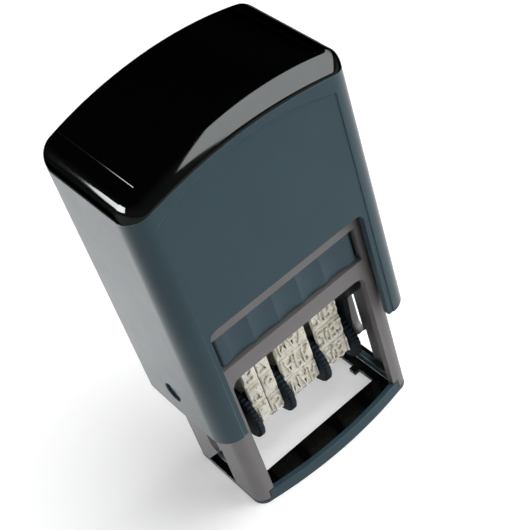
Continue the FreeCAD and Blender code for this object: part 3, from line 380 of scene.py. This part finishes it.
def knurled_wheel(name, face, back, end):
    """A turned wheel: its disc runs from face to back, its hub on to end, and its rim is cut into teeth.

    A closed profile of (place along the axle, radius, share of the tooth) is turned about the axle, its
    radius less share depth ((1 + cos(teeth angle)) / 2) ^ sharpness.
    """
    rim = (high_of(name) - low_of(name))[2] / 2
    root = rim - TOOTH_DEPTH
    side = 1 if end > back else -1
    profile = [
        (face, BORE, 0), (face, rim - STEP_IN, 0), (face + side * STEP_DEPTH, rim - STEP_OUT, 0),
        (face + side * DISH_DEPTH, root - RIM_CHAMFER, 0), (face, root, 0.4),
        (face + side * RIM_CHAMFER, rim, 1), (back - side * RIM_CHAMFER, rim, 1), (back, root, 0.4),
        (back, HUB, 0), (end - side * HUB_CHAMFER, HUB, 0), (end, HUB - HUB_CHAMFER, 0), (end, BORE, 0),
    ]
    place, radius, cut = np.array(profile).T[:, :, None]
    angle = np.linspace(0, 2 * math.pi, TEETH * 8, endpoint=False)[None]
    groove = ((1 + np.cos(TEETH * angle)) / 2) ** TOOTH_SHARPNESS
    reach = radius - cut * TOOTH_DEPTH * groove
    points = np.stack([place + 0 * reach, reach * np.cos(angle), WHEEL_Z + reach * np.sin(angle)], -1)
    faces = quads_of(*points.shape[:2], loop=True)
    if side > 0:
        faces = [face[::-1] for face in faces]
    return shade(piece_of(f"{name}_knurled", points, faces, wheel_black))


for date_part in ("tens", "units", "month", "year"):
    name, band = f"{date_part}_wheel", f"{date_part}_band"
    band_low, band_high = low_of(band)[0], high_of(band)[0]
    if date_part == "tens":
        wheel = knurled_wheel(name, band_low - STACK_GAP - DISC, band_low - STACK_GAP, band_high)
    else:
        wheel = knurled_wheel(name, high_of(name)[0], high_of(name)[0] - DISC, band_low)
    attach(wheel, f"{date_part}_dial")
    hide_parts(name)

# Date bands
# Four endless bands of ivory rubber, moulded with twelve raised places of type each. They run tight
# round the wheels' hubs and over the platen, are stained by ink, and have painted shade between their
# raised type.
PLATEN_HALF = 2.0 * MM
PLATEN_CORNER = 0.5 * MM
BAND_FIT = 0.1 * MM
BELT = 0.7 * MM
BELT_CHAMFER = 0.12 * MM
BELT_STATIONS = 260
TYPE_RISE = 0.8 * MM
TYPE_SUNK = 0.05 * MM
TYPE_FOOT = 0.3 * MM
FOOT_INSET = 0.1 * MM
FOOT_HALF = 2.25 * MM
FOOT_SUNK = 0.5 * MM
FOOT_CORNER = 0.3 * MM
FOOT_EDGE = 0.12 * MM
ROWS = 12
LETTER_HEIGHT = 3.8 * MM
PLATEN_TOP = high_of("month_band")[2] - TYPE_RISE - BELT - BAND_FIT


def loop_place(distance, height=0.0):
    """Places round the band a distance from the middle of its top, at a height over its inner face.

    The inner face is the tight outline round the hub's circle below and the platen's two corner
    circles above. Each half is a flat run, a corner arc, a straight tangent and an arc of the hub.
    """
    hub, corner = HUB + BAND_FIT, PLATEN_CORNER + BAND_FIT
    side, up = PLATEN_HALF - PLATEN_CORNER, PLATEN_TOP - PLATEN_CORNER
    span = math.hypot(side, up - WHEEL_Z)
    lean = math.asin((hub - corner) / span) - math.atan2(side, up - WHEEL_Z)
    run = math.sqrt(span ** 2 - (hub - corner) ** 2)
    corner_arc, hub_arc = (corner + BELT) * (math.pi / 2 - lean), (hub + BELT) * (math.pi / 2 + lean)
    ends = np.cumsum([side, corner_arc, run, hub_arc])
    distance = np.mod(distance, 2 * ends[-1])
    mirror = np.where(distance > ends[-1], -1, 1)
    way = np.where(distance > ends[-1], 2 * ends[-1] - distance, distance)
    turn_corner = math.pi / 2 - (way - ends[0]) / (corner + BELT)
    turn_hub = lean - (way - ends[2]) / (hub + BELT)
    part = [way <= ends[0], way <= ends[1], way <= ends[2]]
    angle = np.select(part, [math.pi / 2, turn_corner, lean], turn_hub)
    start = np.array([side + corner * math.cos(lean), up + corner * math.sin(lean)])
    along = way - ends[1]
    y = np.select(
        part,
        [way, side + corner * np.cos(angle), start[0] + along * math.sin(lean)],
        hub * np.cos(angle),
    )
    z = np.select(
        part,
        [up + corner, up + corner * np.sin(angle), start[1] - along * math.cos(lean)],
        WHEEL_Z + hub * np.sin(angle),
    )
    y, z = y + height * np.cos(angle), z + height * np.sin(angle)
    return mirror * y, z, np.where(mirror > 0, angle, math.pi - angle), 2 * ends[-1]


def letters(text, width):
    """Raised characters as (points, faces), centred, drawn to a width and the letter height."""
    curve = bpy.data.curves.new("letters", "FONT")
    curve.body = text
    curve.extrude = 0.5
    curve.resolution_u = 3
    source = bpy.data.objects.new("letters", curve)
    bpy.context.scene.collection.objects.link(source)
    mesh = bpy.data.meshes.new_from_object(source.evaluated_get(bpy.context.evaluated_depsgraph_get()))
    points = np.empty(len(mesh.vertices) * 3)
    mesh.vertices.foreach_get("co", points)
    points = points.reshape(-1, 3)
    faces = [list(polygon.vertices) for polygon in mesh.polygons]
    bpy.data.objects.remove(source)
    bpy.data.meshes.remove(mesh)
    lowest, highest = points.min(0), points.max(0)
    size = np.array([width, LETTER_HEIGHT, TYPE_RISE - TYPE_FOOT + TYPE_SUNK])
    points = (points - (lowest + highest) / 2) / (highest - lowest) * size
    return points + [0, 0, size[2] / 2 + TYPE_FOOT - TYPE_SUNK], faces


def on_row(points, row, middle):
    """Local points (across, up, out) laid on a row's plane.

    Up runs back along the band, so type is mirrored.
    """
    *_, total = loop_place(0)
    y, z, angle, _ = loop_place(row * total / ROWS, BELT)
    out = np.array([0, math.cos(angle), math.sin(angle)])
    up = np.array([0, -math.sin(angle), math.cos(angle)])
    place = np.array([middle, float(y), float(z)])
    return place + points[:, :1] * [1, 0, 0] + points[:, 1:2] * up + points[:, 2:] * out


def date_band(name, texts, letter_width):
    """A belt, a raised foot for each row and its characters, as one mesh.

    The belt is a chamfered rectangle carried round the loop: at every station its point (across, up)
    stands across from the band's middle and up over the inner face.
    """
    left, right = low_of(name)[0], high_of(name)[0]
    middle, half = (left + right) / 2, (right - left) / 2
    inner, upper = half - BELT_CHAMFER, BELT - BELT_CHAMFER
    section = np.array([
        (-inner, 0), (-half, BELT_CHAMFER), (-half, upper), (-inner, BELT),
        (inner, BELT), (half, upper), (half, BELT_CHAMFER), (inner, 0),
    ])
    *_, total = loop_place(0)
    stations = np.linspace(0, total, BELT_STATIONS, endpoint=False)[:, None]
    y, z, _, _ = loop_place(stations, section[None, :, 1])
    belt = np.stack([middle + section[None, :, 0] + 0 * y, y, z], -1)
    points, faces = [belt.reshape(-1, 3)], quads_of(*belt.shape[:2], loop=True)
    count = belt.shape[0] * belt.shape[1]
    thickness = TYPE_FOOT + FOOT_SUNK
    foot = round_slab(half - FOOT_INSET, FOOT_HALF, thickness, FOOT_CORNER, FOOT_EDGE, steps=2)
    foot = foot - [0, 0, FOOT_SUNK]
    for row, text in enumerate(texts):
        points.append(on_row(foot.reshape(-1, 3), row, middle))
        faces += [face[::-1] for face in stacked(foot, count)]
        count += foot.shape[0] * foot.shape[1]
        if not text.strip():
            continue
        shape, sides = letters(text, letter_width * len(text))
        points.append(on_row(shape, row, middle))
        faces += [[count + index for index in side[::-1]] for side in sides]
        count += len(shape)
    return shade(piece_of(f"{name}_rubber", np.vstack(points), faces, band_ivory))


band_ivory = Finish("band_ivory", roughness=0.62)
age = band_ivory.spread(band_ivory.noise(2.6 * MM, 4, 0.65), 0, 1, 0.38, 0.62)
rubber = band_ivory.mix(age, srgb(250, 247, 238), srgb(234, 228, 210))
ink = band_ivory.spread(band_ivory.noise(0.8 * MM, 5, 0.7), 0, 0.85, 0.56, 0.66)
rubber = band_ivory.mix(ink, rubber, srgb(104, 106, 94))
# The rubber turns dark wherever another surface is within 0.4 mm. This stands for ink held between the
# raised type, and is also painted shade there and wherever the band lies close to another part.
ink_and_painted_shade_near = band_ivory.spread(band_ivory.openness(0.4 * MM, samples=8), 0, 1, 0.3, 0.55)
band_ivory.set(Base_Color=band_ivory.mix(ink_and_painted_shade_near, srgb(60, 62, 54), rubber))
band_ivory.relief(band_ivory.noise(0.15 * MM, 2), depth=0.01 * MM)

MONTHS = ("AUG", "SEP", "OCT", "NOV", "DEC", "JAN", "FEB", "MAR", "APR", "MAY", "JUN", "JUL")
FIRST_YEAR = 2024
texts = {
    "tens": ["2", "3", " ", "1", "2", "3", " ", "1", "2", "3", " ", "1"],
    "units": ["8", "9", "0", "1", "2", "3", "4", "5", "6", "7", " ", " "],
    "month": MONTHS,
    "year": [str(FIRST_YEAR + row) for row in range(ROWS)],
}
letter_widths = {"tens": 1.9 * MM, "units": 1.9 * MM, "month": 1.95 * MM, "year": 1.32 * MM}
for date_part, letter_width in letter_widths.items():
    band = date_band(f"{date_part}_band", texts[date_part], letter_width)
    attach(band, "cradle")
    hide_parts(f"{date_part}_band")

# Return spring
# An open coil of drawn steel wire that stands on the frame's shelf, round a peg, and pushes the
# housing up again.
COIL = 5.0 * MM
WIRE = 0.35 * MM
TURNS = 5


def coil_spring(low, high):
    """A round wire wound on a helix: a circle of the wire's radius carried square to the path."""
    steps, sides = TURNS * 36, 12
    turn = np.linspace(0, 2 * math.pi * TURNS, steps + 1)[:, None]
    rise = np.linspace(low + WIRE, high - WIRE, steps + 1)[:, None]
    pitch = (high - low - 2 * WIRE) / (2 * math.pi * TURNS)
    out = np.concatenate([np.cos(turn), np.sin(turn), 0 * turn], 1)
    along = np.concatenate([-COIL * np.sin(turn), COIL * np.cos(turn), pitch + 0 * turn], 1)
    along /= np.linalg.norm(along, axis=1)[:, None]
    up = np.cross(along, out)
    angle = np.linspace(0, 2 * math.pi, sides, endpoint=False)[None, :, None]
    centre = out * COIL + np.concatenate([0 * turn, 0 * turn, rise], 1)
    return centre[:, None] + WIRE * (np.cos(angle) * out[:, None] + np.sin(angle) * up[:, None])


drawn_wire = Finish("drawn_wire", roughness=0.3)
streaks = drawn_wire.noise(0.3 * MM, 3)
drawn_wire.set(Base_Color=drawn_wire.mix(streaks, srgb(140, 141, 142), srgb(190, 190, 188)), Metallic=1.0)
spring_low, spring_high = low_of("return_spring")[2], high_of("return_spring")[2]
rings = coil_spring(spring_low, spring_high)
spring = shade(piece_of("spring_coil", rings, stacked(rings), drawn_wire))
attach(spring, "frame")
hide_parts("return_spring")
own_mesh(spring)

# Outer housing
# A deep cover moulded in slate plastic with a satin grain, open below and notched front and back. Its
# front and back panels lie a little below the round corners.
housing_slate = satin_plastic("housing_slate", SLATE, roughness=0.32)
# Painted shade: the slate turns near black wherever surfaces close in within 2 mm, in the pivot holes, the
# inner corners and the steps round the panels.
painted_recess_shade = housing_slate.spread(housing_slate.openness(2 * MM, samples=6), 0, 1, 0.3, 0.65)
housing_slate.set(
    Base_Color=housing_slate.mix(painted_recess_shade, srgb(12, 15, 17), housing_slate.colour),
    Sheen_Weight=0.5,
    Sheen_Roughness=0.3,
)
dress("outer_housing", housing_slate, edge=0.12 * MM)

# Top cap
# A black moulding polished to a high gloss and plugged into the housing's mouth. Its top is a shallow
# arch that runs out in round shoulders, with a faint line where the arch ends.
OUT_X, OUT_Y, TOP_Z = high_of("top_cap")
CORNER = 4.0 * MM
SHOULDER_DROP = 7.0 * MM
EDGE_LEAN = math.radians(63)
TUCK_LEAN = math.radians(22)
TUCK = 0.11
CREASE_INSET = 1.2 * MM
CREASE_DEPTH = 0.13 * MM
CREASE_WIDTH = 0.16 * MM
EDGE_STEPS = 30
FINER = 8
CAP_WALL = 1.2 * MM
CROWN_RISE = 3.2 * MM
CROWN_TOP = high_of("outer_housing")[2]
CROWN_SIDE = CROWN_TOP - CROWN_RISE


def arc_radius(half_width, rise):
    """The radius of an arc with a given half chord and rise."""
    return (half_width ** 2 + rise ** 2) / (2 * rise)


def cap_skin():
    """The cap's outer skin as a grid of stations along its top by points across it.

    A station has a base point and a direction out of the core: on the arch they turn about the arch's
    centre, on a shoulder about the shoulder's own centre, and below it they are level. Across, a
    point stands r from the base: r = corner sin a and y = flat + corner cos a on the round edges, and
    r = corner between them. Each station starts where it leaves the housing's crown arc. On the arch
    the edge is drawn out instead: its normal leans from the top by lean (1 - s^3) at a share s of the
    way up, with a small tuck at its foot, and its length makes it end at the top. The crease is a
    groove of depth e^-(distance / width)^2 across the arch.
    """
    half, flat = OUT_X - CORNER, OUT_Y - CORNER
    shoulder = TOP_Z - SHOULDER_DROP
    core = arc_radius(half, SHOULDER_DROP - CORNER)
    core_z = TOP_Z - CORNER - core
    crown = arc_radius(OUT_X, CROWN_TOP - CROWN_SIDE)
    crown_z = CROWN_TOP - crown
    reach = math.asin(half / core)
    crease = math.asin((half - CREASE_INSET) / core)
    arch = np.concatenate([
        np.linspace(0, crease - 0.008, 36), crease + np.linspace(-0.006, 0.006, 17), [reach - 0.01, reach],
    ])
    bend = np.linspace(math.pi / 2 - reach, 0, 26)[1:]
    level = np.linspace(shoulder, CROWN_SIDE, 5)[1:]
    base_x = np.concatenate([core * np.sin(arch), np.full(len(bend) + len(level), half)])
    base_z = np.concatenate([core_z + core * np.cos(arch), np.full(len(bend), shoulder), level])
    out_x = np.concatenate([np.sin(arch), np.cos(bend), np.ones(len(level))])
    out_z = np.concatenate([np.cos(arch), np.sin(bend), np.zeros(len(level))])
    nearest = base_x * out_x + (base_z - crown_z) * out_z
    foot = np.sqrt(nearest ** 2 - base_x ** 2 - (base_z - crown_z) ** 2 + crown ** 2) - nearest
    foot = np.minimum(foot, CORNER)
    wall = np.maximum(-foot, 0)
    start = np.arcsin(np.maximum(foot, 0) / CORNER)
    share = np.linspace(0, 1, EDGE_STEPS)[None]
    way = share * (wall + CORNER * (math.pi / 2 - start))[:, None] - wall[:, None]
    angle = start[:, None] + np.maximum(way, 0) / CORNER
    rise = np.where(way < 0, way, CORNER * np.sin(angle))
    y = flat + np.where(way < 0, CORNER, CORNER * np.cos(angle))
    fine = np.linspace(0, 1, (EDGE_STEPS - 1) * FINER + 1)
    lean = EDGE_LEAN * (1 - fine ** 3) + TUCK_LEAN * np.maximum(1 - fine / TUCK, 0)
    up = np.concatenate([[0], np.cumsum(np.sin(lean[1:]) + np.sin(lean[:-1])) / 2 * fine[1]])
    back = np.concatenate([[0], np.cumsum(np.cos(lean[1:]) + np.cos(lean[:-1])) / 2 * fine[1]])
    height = (CORNER - rise[:, :1]) / up[-1]
    drawn = 1 - np.clip((np.arange(len(base_x)) - len(arch) + 1) / len(bend), 0, 1)[:, None]
    drawn = drawn ** 2 * (3 - 2 * drawn)
    y = drawn * (y[:, :1] - height * back[None, ::FINER]) + (1 - drawn) * y
    rise = drawn * (rise[:, :1] + height * up[None, ::FINER]) + (1 - drawn) * rise
    middle = y[:, -1:] * np.linspace(-1, 1, 25)[None, 1:-1]
    y = np.concatenate([-y, middle, y[:, ::-1]], 1)
    rise = np.concatenate([rise, CORNER + 0 * middle, rise[:, ::-1]], 1)
    line = CREASE_DEPTH * np.exp(-(((base_x - half + CREASE_INSET) / CREASE_WIDTH) ** 2))
    line[len(arch):] = 0
    rise = rise - line[:, None] * (rise > CORNER * 0.98)
    x = base_x[:, None] + out_x[:, None] * rise
    z = base_z[:, None] + out_z[:, None] * rise
    half_skin = np.stack([x, y, z], -1)
    mirrored = half_skin[1:] * [-1, 1, 1]
    return np.concatenate([mirrored[::-1], half_skin])


# Its gloss is set as a dark metal's, so that what it mirrors stays as dim at a low angle as from above.
gloss_black = Finish("gloss_black")
haze = gloss_black.noise(6 * MM, 3)
gloss_black.set(
    Base_Color=gloss_black.mix(haze, srgb(37, 38, 38), srgb(40, 41, 41)),
    Metallic=1.0,
    Specular_Tint=(0.35, 0.35, 0.35, 1),
    Roughness=gloss_black.spread(gloss_black.noise(2 * MM, 5, 0.7), 0.05, 0.07),
)
gloss_black.relief(gloss_black.noise(14 * MM, 1), depth=0.003 * MM)
skin = cap_skin()
cap = piece_of("gloss_cap", skin, quads_of(*skin.shape[:2], ring=False), gloss_black)
mend = bmesh.new()
mend.from_mesh(cap.data)
bmesh.ops.remove_doubles(mend, verts=mend.verts, dist=0.001 * MM)
bmesh.ops.recalc_face_normals(mend, faces=mend.faces)
mend.to_mesh(cap.data)
mend.free()
wall = cap.modifiers.new("wall", "SOLIDIFY")
wall.thickness = CAP_WALL
wall.offset = -1
cap.modifiers.new("shade", "NODES").node_group = SHADING
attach(cap, "housing")
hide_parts("top_cap")

# Floor
# A sheet of white card that the stamp stands on. The camera sees it white, with the stamp's shadow on
# it, and gloss sees it bright only behind the stamp on the left.
CARD = 1.5
SEEN_GLOW = 0.4
MIRRORED_GLOW = 1.3
BRIGHT_PLACE = (-0.05, 0.13, 0)
BRIGHT_REACH = (0.09, 0.16)
paper = Finish("white_card", roughness=0.9)
rays = paper.node("ShaderNodeLightPath").outputs
away = paper.node("ShaderNodeVectorMath", operation="DISTANCE")
paper.feed(away.inputs[0], paper.place)
paper.feed(away.inputs[1], BRIGHT_PLACE)
bright = paper.spread(away.outputs["Value"], MIRRORED_GLOW, 0, *BRIGHT_REACH)
mirrored = paper.sum("MULTIPLY", rays["Is Glossy Ray"], bright)
seen = paper.sum("MAXIMUM", rays["Is Camera Ray"], rays["Is Transmission Ray"])
paper.set(
    Base_Color=(0.8, 0.8, 0.8, 1),
    Emission_Color=(1, 1, 1, 1),
    Emission_Strength=paper.sum("MULTIPLY_ADD", seen, SEEN_GLOW, mirrored),
)
corners = np.array([(-CARD, -CARD, 0), (CARD, -CARD, 0), (CARD, CARD, 0), (-CARD, CARD, 0)])
piece_of("white_card", corners, [[0, 1, 2, 3]], paper)

# Studio light
# A square lamp above on the right and a weaker one in front light the stamp. Two cards glow in gloss
# alone, for the cap's highlights, and the room is pale near the horizon.
LIT_PLACE = Vector((0, 0, 0.04))
LAMP_AWAY = 0.7
CARD_AWAY = 0.5


def lamp(name, direction, size, radiance):
    """A square soft lamp that shines from a direction, with a radiance over its face in W/m2/sr."""
    light = bpy.data.lights.new(name, "AREA")
    light.shape = "SQUARE"
    light.size = size
    light.energy = radiance * math.pi * size * size
    lit = bpy.data.objects.new(name, light)
    bpy.context.scene.collection.objects.link(lit)
    way = Vector(direction).normalized()
    lit.location = LIT_PLACE + way * LAMP_AWAY
    lit.rotation_euler = way.to_track_quat("Z", "Y").to_euler()
    lit.visible_glossy = False


def light_card(name, azimuth, elevation, outline, radiance):
    """A flat glowing card, seen in gloss alone.

    The azimuth is in degrees from the front toward the right. The outline runs round the card's middle
    in metres to the right and up, as it is seen from the stamp.
    """
    east, rise = math.radians(azimuth), math.radians(elevation)
    away = Vector((math.sin(east) * math.cos(rise), -math.cos(east) * math.cos(rise), math.sin(rise)))
    right = Vector((math.cos(east), math.sin(east), 0))
    up = away.cross(right)
    points = [away * CARD_AWAY + right * x + up * y + LIT_PLACE for x, y in outline]
    glow = Finish(name)
    glow.set(Base_Color=(0, 0, 0, 1), Emission_Color=(1, 1, 1, 1), Emission_Strength=radiance)
    card = piece_of(name, points, [list(range(len(points)))], glow)
    card.visible_camera = card.visible_diffuse = card.visible_transmission = card.visible_shadow = False


SOFTBOX = [(-0.41, 0.03), (-0.10, -0.12), (0.9, -0.12), (0.9, 0.16), (-0.24, 0.235)]
STRIP = [
    (-0.0955, 0.03), (-0.079, -0.045), (0.24, -0.025), (0.6, 0.01),
    (0.6, 0.27), (0.08, 0.166), (-0.0948, 0.078),
]
lamp("key", (0.30, -0.10, 0.95), size=0.4, radiance=9.0)
lamp("fill", (0.45, -0.75, 0.45), size=0.6, radiance=1.8)
light_card("softbox", azimuth=50, elevation=20, outline=SOFTBOX, radiance=10.0)
light_card("strip", azimuth=-125, elevation=10, outline=STRIP, radiance=40.0)

world = bpy.data.worlds.new("room")
bpy.context.scene.world = world
world.use_nodes = True
tree = world.node_tree
way = tree.nodes.new("ShaderNodeTexCoord")
split = tree.nodes.new("ShaderNodeSeparateXYZ")
ramp = tree.nodes.new("ShaderNodeValToRGB")
tree.links.new(way.outputs["Generated"], split.inputs["Vector"])
tree.links.new(split.outputs["Z"], ramp.inputs["Fac"])
tree.links.new(ramp.outputs["Color"], tree.nodes["Background"].inputs["Color"])
tree.nodes["Background"].inputs["Strength"].default_value = 1.0
horizon, overhead = ramp.color_ramp.elements
horizon.position, horizon.color = 0.15, (0.25, 0.25, 0.25, 1)
overhead.position, overhead.color = 0.50, (0.04, 0.04, 0.045, 1)

# Camera
# It looks down on the stamp's front from the left, rolled a little, through a long lens.
camera_place = Vector((-70.8, -150.7, 208.2)) * MM
camera_aim = Vector((3.0, 0.1, 40.0)) * MM
ROLL = math.radians(-19.4)
lens = bpy.data.cameras.new("camera")
lens.sensor_width = 36.0
lens.lens = 95.2
camera = bpy.data.objects.new("camera", lens)
bpy.context.scene.collection.objects.link(camera)
camera.location = camera_place
look = (camera_aim - camera_place).to_track_quat("-Z", "Y") @ Quaternion((0, 0, 1), ROLL)
camera.rotation_euler = look.to_euler()
bpy.context.scene.camera = camera
bpy.context.scene.view_settings.view_transform = "Standard"
